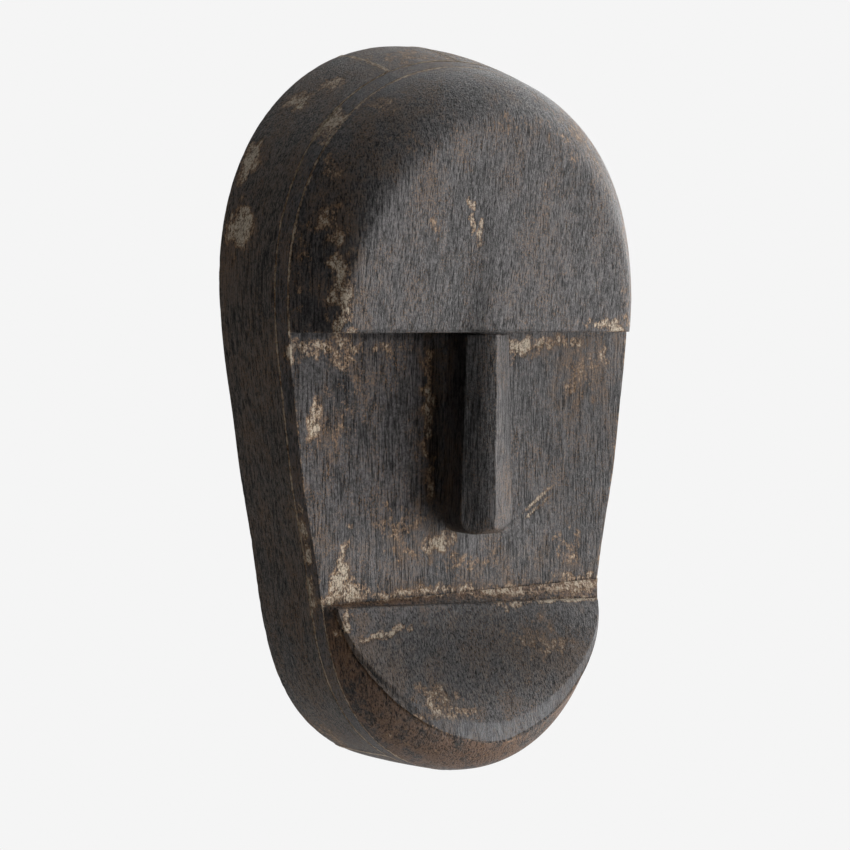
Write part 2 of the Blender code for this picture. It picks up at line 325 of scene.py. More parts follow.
def face_board():
    """The thin board whose front is the plane of the cheeks."""
    angles = np.linspace(0, FULL_TURN, 480, endpoint=False)
    loops = []
    for share in np.linspace(0.02, 1.0, 90):
        loops.append(polar_points(lambda a, b: share * (skin_radius(a, b) - 1.5), angles, 0.0))
    for turn in quarter(5):
        behind = SEAM_EDGE * (1 - math.cos(turn))
        loops.append(polar_points(skin_radius, angles, behind, SEAM_EDGE * (1 - math.sin(turn))))
    for behind in np.linspace(1.2, FACE_BOARD - 1.2, 8):
        loops.append(polar_points(skin_radius, angles, behind))
    for turn in quarter(5):
        behind = FACE_BOARD - SEAM_EDGE * (1 - math.sin(turn))
        loops.append(polar_points(skin_radius, angles, behind, SEAM_EDGE * (1 - math.cos(turn))))
    for share in np.linspace(0.95, 0.05, 16):
        loops.append(polar_points(lambda a, b: share * skin_radius(a, b), angles, FACE_BOARD))
    index = np.arange(len(loops) * len(angles)).reshape(len(loops), len(angles))
    faces = grid_faces(index, closed_columns=True)
    faces += [index[0].tolist(), index[-1].tolist()]
    return new_mesh("worn_face_board", np.concatenate(loops), faces)


def rim_arc(low, high, stations):
    """Points along the face outline between two angles, closer together towards its ends."""
    share = np.linspace(-1, 1, stations)
    share = 0.6 * share + 0.4 * np.sin(share * math.pi / 2)
    angles = (low + high) / 2 + (high - low) / 2 * share
    return polar_points(skin_radius, angles, 0.0) + (0.0, -GAP, 0.0)


def oval_reach(turn, half_width, height, power):
    """How far a flattened oval reaches from its centre, at a turn from its tall axis."""
    across = np.abs(np.sin(turn) / half_width) ** power
    along = np.abs(np.cos(turn) / height) ** power
    return (across + along) ** (-1 / power)


def shoulder(rim, crest, centre_z, rows):
    """Rows of points from a rim to a crest, bowed outwards by a share of the distance between them."""
    outward = rim * (1, 0, 1) - (0, 0, centre_z)
    outward /= np.linalg.norm(outward, axis=1, keepdims=True)
    chord = crest - rim
    rise = np.abs(chord[:, 1:2])
    run = np.sum(chord * outward, axis=1, keepdims=True)
    bow = outward * rise + run * np.array((0.0, 1.0, 0.0))
    bow /= np.linalg.norm(bow, axis=1, keepdims=True)
    height = SHOULDER_BULGE * np.abs(outward[:, 2:3]) * np.linalg.norm(chord, axis=1, keepdims=True)
    shares = np.linspace(0, 1, rows)
    return np.stack([rim + chord * s + bow * height * math.sin(math.pi * s) for s in shares], axis=1)


def soften_profiles(profiles, passes):
    """Rounds the corners along each profile and keeps its two ends."""
    for _ in range(passes):
        inner = (profiles[:, :-2] + 2 * profiles[:, 1:-1] + profiles[:, 2:]) / 4
        profiles = np.concatenate([profiles[:, :1], inner, profiles[:, -1:]], axis=1)
    return profiles


def half_block(name, profiles, away, edge):
    """A closed block from profiles that run from its back rim over its front to a pole on its straight side.

    away is the way along Z from the straight side into the block, and edge the radius of that side's edge.
    """
    stations, rows = profiles.shape[:2]
    points = list(profiles[:, :-1].reshape(-1, 3))
    grid = np.arange(len(points)).reshape(stations, rows - 1)
    pole = len(points)
    points.append(profiles[0, -1])
    faces = grid_faces(grid)
    faces += [[int(grid[k, -1]), int(grid[k + 1, -1]), pole] for k in range(stations - 1)]

    boundary = grid[0].tolist() + [pole] + grid[-1][::-1].tolist()
    left, right = points[boundary[0]], points[boundary[-1]]
    shares = (0.02, 0.05, 0.1, 0.17, 0.26, 0.4, 0.6, 0.8, 1.0)
    columns = [[end] * (len(shares) + 1) for end in (boundary[0], boundary[-1])]
    middle = []
    depth = {}
    for vertex in boundary[1:-1]:
        top = points[vertex]
        foot = left + (right - left) * (top[0] - left[0]) / (right[0] - left[0])
        column = [vertex]
        for share in shares:
            depth[len(points)] = share * np.linalg.norm(foot - top)
            column.append(len(points))
            points.append(top + (foot - top) * share)
        middle.append(column)
    cap = np.array([columns[0]] + middle + [columns[1]])
    faces += grid_faces(cap)
    faces.append(grid[:, 0].tolist() + cap[::-1, -1].tolist()[1:-1])
    faces = [list(dict.fromkeys(face)) for face in faces]
    faces = [face for face in faces if len(face) > 2]

    points = np.array(points)
    line = points[boundary]
    order = np.argsort(line[:, 0])
    round_front(points[: pole + 1], line[order], away, edge)
    round_cap(points, depth, away, edge)
    return new_mesh(name, points, faces)


def edge_radius(x, edge):
    """The radius of a worn edge, which varies along it."""
    slow = noise.noise(Vector((x / 14.0, 7.3, 0.0)))
    quick = noise.noise(Vector((x / 4.0, 1.3, 0.0)))
    return edge * (1.0 + 0.7 * slow + 0.4 * quick)


def arc_place(distance, radius):
    """Where a point so far from a sharp edge lies on the rounded one: (distance from the edge, depth)."""
    turn = (1 - distance / radius) * math.pi / 4
    return radius * (1 - math.sin(turn)), radius * (1 - math.cos(turn))


def round_front(points, line, away, edge):
    """Rounds the front's side of the edge along a line."""
    level = np.interp(points[:, 0], line[:, 0], line[:, 2])
    for point, z in zip(points, level):
        distance = away * (point[2] - z)
        radius = edge_radius(point[0], edge)
        if -1e-6 <= distance < radius:
            along, inward = arc_place(distance, radius)
            point[2] = z + away * along
            point[1] += inward


def round_cap(points, depth, away, edge):
    """Rounds the straight side's part of the same edge."""
    for vertex, distance in depth.items():
        radius = edge_radius(points[vertex][0], edge)
        if distance < radius:
            along, inward = arc_place(distance, radius)
            points[vertex][1] += along - distance
            points[vertex][2] += away * inward


def forehead_block():
    """The block above the brow: a flat front that leans out, inside a sloped shoulder."""
    edge = angle_at_z(BROW_Z)
    rim = rim_arc(-edge, edge, 300)
    turn = np.arctan2(rim[:, 0], rim[:, 2] - BROW_Z)
    reach = oval_reach(turn, FOREHEAD_HALF_WIDTH, FOREHEAD_HEIGHT, FOREHEAD_POWER)
    z = BROW_Z + reach * np.cos(turn)
    y = -(BODY_DEPTH + FOREHEAD_RISE + FOREHEAD_LEAN * (z - BROW_Z))
    crest = np.stack([reach * np.sin(turn), y, z], axis=1)
    sides = shoulder(rim, crest, BROW_Z, 34)
    pole = np.array((0.0, -(BODY_DEPTH + FOREHEAD_RISE), BROW_Z))
    front = crest[:, None] + (pole - crest[:, None]) * np.linspace(0, 1, 100)[None, 1:, None]
    profiles = soften_profiles(np.concatenate([sides, front], axis=1), CREST_SOFTNESS)
    return half_block("worn_forehead_block", profiles, 1, BROW_EDGE)


def mouth_rim():
    """The face outline below the mouth, from the right-hand corner round the chin to the left-hand one."""
    edge = angle_at_z(MOUTH_Z)
    return rim_arc(edge, FULL_TURN - edge, 280)


def chin_loop(rim, half_width, height, rise):
    """A loop on the sloped front of the chin, under a mouth edge that slants down to the right."""
    turn = np.arctan2(rim[:, 0], MOUTH_Z - rim[:, 2])
    reach = oval_reach(turn, half_width, height, JAW_POWER)
    x = reach * np.sin(turn)
    below = np.maximum(reach * np.cos(turn), 0.0)
    drop = (MOUTH_DROP + MOUTH_SLANT * (x + half_width)) * (1 - below / height)
    z = MOUTH_Z - below - drop
    return np.stack([x, -(BODY_DEPTH + rise + CHIN_SLOPE * (MOUTH_Z - z)), z], axis=1)


def to_pole(loop, rows):
    """Rows from a loop to the middle of its straight side."""
    pole = (loop[0] + loop[-1]) / 2
    return loop[:, None] + (pole - loop[:, None]) * np.linspace(0, 1, rows)[None, 1:, None]


def jaw_block():
    """The wedge below the mouth, with a rounded shoulder."""
    rim = mouth_rim()
    crest = chin_loop(rim, JAW_HALF_WIDTH, JAW_HEIGHT, JAW_RISE)
    sides = shoulder(rim, crest, MOUTH_Z, 36)
    profiles = soften_profiles(np.concatenate([sides, to_pole(crest, 30)], axis=1), JAW_CREST_SOFTNESS)
    return half_block("worn_jaw_block", profiles, -1, MOUTH_EDGE)


def chin_plate():
    """The dark plate on the jaw block, bevelled along its lower edge."""
    rim = mouth_rim()
    back = chin_loop(rim, JAW_HALF_WIDTH, JAW_HEIGHT, JAW_RISE + GAP)
    front = chin_loop(rim, JAW_HALF_WIDTH - CHIN_SIDE_INSET, JAW_HEIGHT - CHIN_BEVEL, JAW_RISE + CHIN_PLATE)
    bevel = back[:, None] + (front - back)[:, None] * np.linspace(0, 1, 16)[None, :, None]
    profiles = soften_profiles(np.concatenate([bevel, to_pole(front, 80)], axis=1), CHIN_CREST_SOFTNESS)
    return half_block("worn_chin_plate", profiles, -1, MOUTH_EDGE)


def nose():
    """The nose: two walls and two facets that meet in a ridge, with a rounded foot and softened edges."""
    top = BROW_Z - GAP
    foot = top - NOSE_LENGTH
    base = -(BODY_DEPTH + GAP)
    outline = [(-NOSE_TOP_HALF, top), (NOSE_TOP_HALF, top)]
    for turn in quarter(NOSE_CORNER_STEPS):
        x = NOSE_FOOT_HALF - NOSE_CORNER * (1 - math.cos(turn))
        z = foot + NOSE_CORNER * (1 - math.sin(turn))
        outline += [(-x, z), (x, z)]
    bm = bmesh.new()
    for x, z in outline:
        bm.verts.new((x * METRES, base * METRES, z * METRES))
        bm.verts.new((x * METRES, -(BODY_DEPTH + NOSE_WALL) * METRES, z * METRES))
    for z in (top, foot + NOSE_FOOT_SLOPE):
        bm.verts.new((0.0, -(BODY_DEPTH + NOSE_RIDGE) * METRES, z * METRES))
    bmesh.ops.convex_hull(bm, input=bm.verts)
    mesh = bpy.data.meshes.new("worn_nose")
    bm.to_mesh(mesh)
    bm.free()
    piece = bpy.data.objects.new("worn_nose", mesh)
    bpy.context.scene.collection.objects.link(piece)
    remesh = piece.modifiers.new("remesh", "REMESH")
    remesh.mode = "VOXEL"
    remesh.voxel_size = NOSE_VOXEL * METRES
    smooth = piece.modifiers.new("smooth", "SMOOTH")
    smooth.factor = 0.5
    smooth.iterations = NOSE_SMOOTHING
    apply_modifiers(piece)
    return piece


def apply_modifiers(piece):
    """Replaces a piece's mesh with what its modifiers make of it."""
    graph = bpy.context.evaluated_depsgraph_get()
    finished = bpy.data.meshes.new_from_object(piece.evaluated_get(graph))
    piece.modifiers.clear()
    piece.data = finished


# ---- Wear --------------------------------------------------------------------------------------------

# Marks on the wood: (x, y, z) of the middle, half sizes, a tilt in degrees about Y, and how strong.
PALE_MARKS = (
    ((-120, -17, 56), (12, 11, 10), 0, 1.1),
    ((-109, -10, 88), (8, 8, 22), 24, 1.1),
    ((-82, -20, 122), (16, 12, 6), -30, 0.8),
    ((-70, -30, 133), (16, 8, 5), -30, 0.7),
    ((-87, -54, 108), (9, 7, 12), 30, 1.0),
    ((-100, -80, 24), (6, 9, 30), 0, 0.85),
    ((-99, -82, 8), (7, 9, 10), 0, 0.85),
    ((-104, -74, 60), (6, 9, 11), 10, 0.6),
    ((-98, -70, 86), (5, 9, 12), 16, 0.55),
    ((-110, -66, 28), (7, 6, 30), 5, 0.38),
    ((-66, -70, 122), (16, 9, 8), -30, 0.42),
    ((-21, -90, 60), (2.5, 6, 10), 14, 0.95),
    ((-15, -90, 53), (1.8, 6, 8), -12, 0.85),
    ((-45, -88, 55), (3, 6, 5), 10, 0.55),
    ((-50, -86, 92), (22, 7, 8), -34, 0.36),
    ((10, -92, 112), (40, 6, 6), 4, 0.34),
    ((-101, -60, -7), (20, 6, 5), 10, 0.72),
    ((-62, -60, -8), (24, 6, 4), 0, 0.52),
    ((-84, -60, -15), (9, 6, 7), 0, 0.5),
    ((37, -60, -9), (15, 6, 6), 0, 0.95),
    ((64, -60, -6), (22, 6, 4), 0, 0.55),
    ((100, -60, -14), (5, 6, 6), 0, 0.6),
    ((84, -60, -28), (16, 6, 16), 0, 0.36),
    ((-101, -60, -44), (4.5, 6, 14), -8, 0.75),
    ((-84, -60, -40), (12, 6, 18), 0, 0.36),
    ((-28, -60, -36), (4, 6, 30), 0, 0.62),
    ((-27, -60, -46), (3, 6, 9), 0, 0.9),
    ((-25, -60, -82), (4, 6, 14), 0, 0.55),
    ((22, -60, -50), (2.5, 6, 48), 0, 0.5),
    ((-45, -60, -108), (14, 6, 14), 0, 0.42),
    ((-19, -60, -116), (12, 6, 6), 14, 0.8),
    ((6, -60, -128), (26, 6, 6), 0, 0.42),
    ((74, -60, -124), (14, 6, 12), 0, 0.42),
    ((-85, -60, -128), (5, 6, 16), -12, 1.0),
    ((-76, -60, -138), (12, 6, 6), 0, 0.8),
    ((-50, -60, -142), (60, 6, 3), 0, 0.55),
    ((-20, -60, -142), (26, 6, 3), 0, 0.75),
    ((36, -62, -147), (46, 6, 4), -3, 0.62),
    ((78, -62, -146), (24, 6, 6), -3, 0.72),
    ((26, -62, -147), (14, 6, 3), -3, 1.1),
    ((58, -68, -152.6), (36, 4, 1.6), -3, 1.1),
    ((28, -67, -153), (10, 4, 2.5), 0, 0.8),
    ((-60, -71, -160.5), (18, 6, 2.4), 8, 1.1),
    ((-86, -66, -152), (5, 6, 7), -20, 0.7),
    ((-38, -85, -198), (14, 8, 11), -24, 0.62),
    ((-28, -87, -205), (16, 8, 4), 0, 0.55),
    ((36, -77, -170), (24, 8, 13), -8, 0.42),
    ((52, -79, -178), (14, 8, 5), 10, 0.5),
    ((50, -60, -96), (11, 6, 0.9), 34, 1.3),
    ((49, -60, -101), (9, 6, 0.9), 34, 1.3),
    ((-104, -54, -112), (4, 3, 24), 0, 0.9),
    ((-98, -52, -140), (4, 4, 14), 0, 0.6),
    ((84, -84, 5), (16, 5, 4), 0, 0.9),
    ((-58, -12, -228), (16, 12, 12), 0, 0.35),
    ((-40, -70, -212), (26, 14, 18), 40, 0.30),
    ((0, -40, 155), (70, 22, 8), 0, 0.42),
    ((60, -78, 120), (46, 24, 26), 30, 0.40),
    ((98, -72, 60), (18, 18, 46), 0, 0.36),
)
BROWN_MARKS = (
    ((-98, -76, 60), (14, 18, 62), 12, 0.75),
    ((-60, -78, 112), (46, 16, 20), -36, 0.75),
    ((20, -84, 132), (60, 12, 12), 8, 0.6),
    ((-75, -70, -185), (30, 20, 36), 35, 0.95),
    ((-20, -78, -232), (60, 24, 18), 0, 1.1),
    ((60, -80, -205), (30, 24, 26), -35, 0.8),
    ((-104, -40, -160), (12, 20, 60), 0, 0.75),
    ((-118, -20, -60), (16, 26, 80), 0, 0.35),
    ((-112, -22, 40), (20, 30, 60), 0, 0.45),
    ((-24, -60, -55), (11, 6, 62), 0, 0.9),
    ((-60, -60, -112), (46, 6, 16), 0, 0.45),
    ((-80, -60, -35), (26, 6, 26), 0, 0.45),
    ((80, -60, -25), (34, 6, 24), 0, 0.55),
    ((50, -60, -132), (60, 6, 14), 0, 0.55),
    ((0, -60, -142), (110, 6, 6), 0, 0.6),
    ((0, -75, -185), (90, 20, 40), 0, 0.62),
)
# Darker patches. Most are painted shade: on the nose's left facet, on the right cheek and on the chin plate,
# with painted shadow on the cheek beside the nose and just under the brow. The others darken the left edge of
# the cheeks and the left shoulders of the forehead and the jaw.
DARK_MARKS = (
    ((-12, -78, -56), (11, 20, 110), 0, 0.95),
    ((-22, -61, -58), (7, 6, 62), 0, 0.9),
    ((-50, -61, -1), (80, 6, 2.5), 0, 0.7),
    ((-118, -58, -60), (4, 8, 70), -8, 0.6),
    ((-104, -72, 30), (12, 10, 50), 6, 0.35),
    ((0, -75, -178), (92, 20, 38), 0, 0.85),
    ((84, -60, -70), (48, 6, 72), 0, 0.42),
    ((-80, -66, -176), (26, 8, 30), 35, 0.4),
)
CRACKS = (
    ((-117, -60.5, -4), (-98, -60.5, -21)),
    ((-84, -74, -172), (-46, -86, -208)),
    ((-104, -84, 1), (30, -84, 1)),
)


def mark_strength(points, marks, drift):
    """How strongly a set of marks covers each point; the drift is two noises that bend their outlines."""
    total = np.zeros(len(points))
    for middle, half, tilt, strength in marks:
        turn = math.radians(tilt)
        d = points - middle
        across = (d[:, 0] * math.cos(turn) + d[:, 2] * math.sin(turn)) / half[0] + RAGGEDNESS * drift[0]
        along = (-d[:, 0] * math.sin(turn) + d[:, 2] * math.cos(turn)) / half[2] + RAGGEDNESS * drift[1]
        deep = d[:, 1] / half[1]
        total = np.maximum(total, strength * np.exp(-((across**2 + along**2 + deep**2) ** 1.5)))
    return total


def crack_strength(points):
    """How near each point is to a crack."""
    total = np.zeros(len(points))
    for start, end in CRACKS:
        start, end = np.array(start, float), np.array(end, float)
        line = end - start
        share = np.clip((points - start) @ line / (line @ line), 0, 1)
        distance = np.linalg.norm(points - start - share[:, None] * line, axis=1)
        total = np.maximum(total, np.exp(-((distance / CRACK_WIDTH) ** 2)))
    return total


def from_joint(points):
    """Each point's distance across from the nearest joint between two crown boards or two jaw boards."""
    across = np.abs(points[:, 0])
    return np.minimum(across, np.abs(across - CROWN_JOINT_X))


def seam_strength(points):
    """1 on the glue lines round the face board and between the shell's boards, 0 elsewhere."""
    behind = points[:, 1] + BODY_DEPTH
    angle = np.arctan2(points[:, 0], points[:, 2] - OUTLINE_CENTRE_Z)
    reach = np.hypot(points[:, 0], points[:, 2] - OUTLINE_CENTRE_Z)
    on_skin = reach > skin_radius(angle, np.clip(behind, 0, BODY_DEPTH)) - SEAM_SKIN
    bare_rim = (points[:, 2] < BROW_Z) & (points[:, 2] > MOUTH_Z)
    front = np.exp(-((behind / SEAM_SPREAD) ** 2)) * np.where(bare_rim, RIM_SEAM, 1.0)
    rear = np.exp(-(((behind - FACE_BOARD - GAP / 2) / SEAM_SPREAD) ** 2))
    joint = np.exp(-((from_joint(points) / SEAM_SPREAD) ** 2)) * (behind > FACE_BOARD)
    return on_skin * np.maximum(np.maximum(front, rear), joint)


def convexity(mesh, points, normals):
    """How sharply the surface turns around each vertex: 0 where flat, 1 on an edge, -1 in a hollow corner."""
    edges = np.empty(len(mesh.edges) * 2, np.int32)
    mesh.edges.foreach_get("vertices", edges)
    first, second = edges.reshape(-1, 2).T
    way = points[second] - points[first]
    way /= np.maximum(np.linalg.norm(way, axis=1, keepdims=True), 1e-6)
    count = np.bincount(edges, minlength=len(points))
    bend = np.bincount(first, -np.sum(way * normals[first], axis=1), len(points))
    bend += np.bincount(second, np.sum(way * normals[second], axis=1), len(points))
    bend = np.clip(bend / count / EDGE_FULL, -1, 1)
    for _ in range(BLUR_PASSES):
        around = np.bincount(first, bend[second], len(points))
        around += np.bincount(second, bend[first], len(points))
        bend = 0.5 * bend + 0.5 * around / count
    return bend


def field(points, size, seed):
    """Smooth noise from -1 to 1 at each point."""
    offset = Vector((seed * 17.3, seed * 5.1, seed * 9.7))
    return np.array([noise.noise(Vector(point) / size + offset) for point in points.tolist()])


def paint_light_on_chin_bevel(piece):
    """Marks where painted light goes on the lower bevel of the chin plate: on its downward, forward faces,
    growing stronger towards the right.
    """
    count = len(piece.data.vertices)
    normals = np.empty(count * 3, np.float32)
    piece.data.vertex_normals.foreach_get("vector", normals)
    normals = normals.reshape(-1, 3)
    downward = np.clip((LIT_BEVEL_TILT - normals[:, 2]) / 0.07, 0, 1)
    frontal = np.clip((-0.7 - normals[:, 1]) / 0.1, 0, 1)
    x = np.array([vertex.co.x for vertex in piece.data.vertices]) / METRES
    rightward = np.clip((x - LIT_BEVEL_START_X) / LIT_BEVEL_RUN, 0, 1)
    add_attribute(piece.data, "painted_light", LIT_BEVEL_STRENGTH * downward * frontal * rightward)


def add_attribute(mesh, name, values):
    """Stores one number for each vertex."""
    layer = mesh.attributes.new(name, "FLOAT", "POINT")
    layer.data.foreach_set("value", values.astype(np.float32))


def weather(piece, seed):
    """Makes a piece hand-planed and worn: it only loses wood, and its wear, stains and painted shade are
    stored for the material.
    """
    mesh = piece.data
    count = len(mesh.vertices)
    points = np.empty(count * 3, np.float32)
    normals = np.empty(count * 3, np.float32)
    mesh.vertices.foreach_get("co", points)
    mesh.vertex_normals.foreach_get("vector", normals)
    points = points.reshape(-1, 3).astype(float) / METRES
    normals = normals.reshape(-1, 3).astype(float)
    edge = convexity(mesh, points, normals)
    waver = field(points, WAVER_SIZE, seed)
    ripple = field(points, RIPPLE_SIZE, seed + 1)
    nick = np.clip(field(points, NICK_SIZE, seed + 2) - 0.1, 0, 1)
    drift = (field(points, RAGGED_SIZE, seed + 3), field(points, RAGGED_SIZE, seed + 4))
    pale = mark_strength(points, PALE_MARKS, drift)
    crack = crack_strength(points)
    depth = WAVER_DEPTH * (1 + waver) / 2 + RIPPLE_DEPTH * (1 + ripple) / 2
    depth += NICK_DEPTH * nick * np.clip(edge, 0, 1) + MARK_DEPTH * pale + CRACK_DEPTH * crack
    glued = (from_joint(points) < JOINT_SKIN) & (np.abs(normals[:, 0]) > JOINT_TILT)
    depth[glued & (points[:, 1] > -BODY_DEPTH)] = 0.0
    add_attribute(mesh, "edge", np.clip(edge, 0, 1))
    add_attribute(mesh, "hollow", np.clip(-edge, 0, 1))
    add_attribute(mesh, "pale", pale)
    turned_away = np.clip((normals[:, 1] + 0.97) / 0.2, 0, 1)
    brown = np.maximum(mark_strength(points, BROWN_MARKS, drift), SIDE_BROWN * turned_away)
    add_attribute(mesh, "brown", brown)
    back_rim = np.clip((points[:, 1] + BACK_DARK) / BACK_DARK, 0, 1) * (normals[:, 1] < 0.9)
    # Painted shade and shadow from most of the dark marks, together with the darker stain of the shoulders.
    shade_and_grime = np.maximum(mark_strength(points, DARK_MARKS, NO_DRIFT), SHOULDER_DARK * turned_away)
    add_attribute(mesh, "dark", np.maximum(shade_and_grime, back_rim))
    add_attribute(mesh, "crack", crack)
    add_attribute(mesh, "seam", seam_strength(points))
    points = (points - normals * depth[:, None]) * METRES
    mesh.vertices.foreach_set("co", points.astype(np.float32).ravel())
    mesh.update()
    mesh.shade_smooth()
    mesh.set_sharp_from_angle(angle=math.radians(SHARP_ANGLE))


# ---- Materials ---------------------------------------------------------------------------------------


class Shader:
    """A material under construction: each method adds one node and returns its output."""

    def __init__(self, name):
        self.material = bpy.data.materials.new(name)
        self.material.use_nodes = True
        self.tree = self.material.node_tree
        self.surface = self.tree.nodes["Principled BSDF"]
        self.place = self.tree.nodes.new("ShaderNodeTexCoord").outputs["Object"]

    def feed(self, socket, value):
        """Links an output to a socket, or sets a constant on it."""
        if isinstance(value, bpy.types.NodeSocket):
            self.tree.links.new(value, socket)
        else:
            socket.default_value = value

    def math(self, operation, a, b=0.5, c=0.5, clamp=False):
        """One arithmetic step."""
        node = self.tree.nodes.new("ShaderNodeMath")
        node.operation = operation
        node.use_clamp = clamp
        for socket, value in zip(node.inputs, (a, b, c)):
            self.feed(socket, value)
        return node.outputs[0]

    def attribute(self, name):
        """A number stored on the mesh."""
        node = self.tree.nodes.new("ShaderNodeAttribute")
        node.attribute_name = name
        return node.outputs["Fac"]

    def stretched(self, scale):
        """The place, scaled along each axis."""
        node = self.tree.nodes.new("ShaderNodeVectorMath")
        node.operation = "MULTIPLY"
        self.feed(node.inputs[0], self.place)
        node.inputs[1].default_value = scale
        return node.outputs[0]

    def noise(self, scale, detail=4.0, roughness=0.55, distortion=0.0):
        """Fractal noise with a number of lumps per metre along each axis."""
        node = self.tree.nodes.new("ShaderNodeTexNoise")
        self.feed(node.inputs["Vector"], self.stretched(scale))
        node.inputs["Scale"].default_value = 1.0
        node.inputs["Detail"].default_value = detail
        node.inputs["Roughness"].default_value = roughness
        node.inputs["Distortion"].default_value = distortion
        return node.outputs["Fac"]

    def ramp(self, value, low, high, bottom=0.0, top=1.0):
        """Rises smoothly from bottom to top as a value goes from low to high."""
        node = self.tree.nodes.new("ShaderNodeMapRange")
        node.interpolation_type = "SMOOTHSTEP"
        for name, amount in (("From Min", low), ("From Max", high), ("To Min", bottom), ("To Max", top)):
            node.inputs[name].default_value = amount
        self.feed(node.inputs["Value"], value)
        return node.outputs["Result"]

    def blend(self, parts, base=0.0):
        """A base value and shares of noises, each counted from its middle."""
        total = base
        for value, share in parts:
            total = self.math("MULTIPLY_ADD", self.math("SUBTRACT", value, 0.5), share, total)
        return total

    def mix(self, share, first, second, how="MIX"):
        """A colour between two, or the one blended over the other in another way."""
        node = self.tree.nodes.new("ShaderNodeMix")
        node.data_type = "RGBA"
        node.blend_type = how
        self.feed(node.inputs[0], share)
        for socket, colour in ((node.inputs[6], first), (node.inputs[7], second)):
            self.feed(socket, (*colour, 1.0) if isinstance(colour, tuple) else colour)
        return node.outputs[2]

    def bump(self, height, distance, strength=1.0):
        """Relief from a height, so many metres deep."""
        node = self.tree.nodes.new("ShaderNodeBump")
        node.inputs["Strength"].default_value = strength
        node.inputs["Distance"].default_value = distance
        self.feed(node.inputs["Height"], height)
        self.feed(self.surface.inputs["Normal"], node.outputs["Normal"])


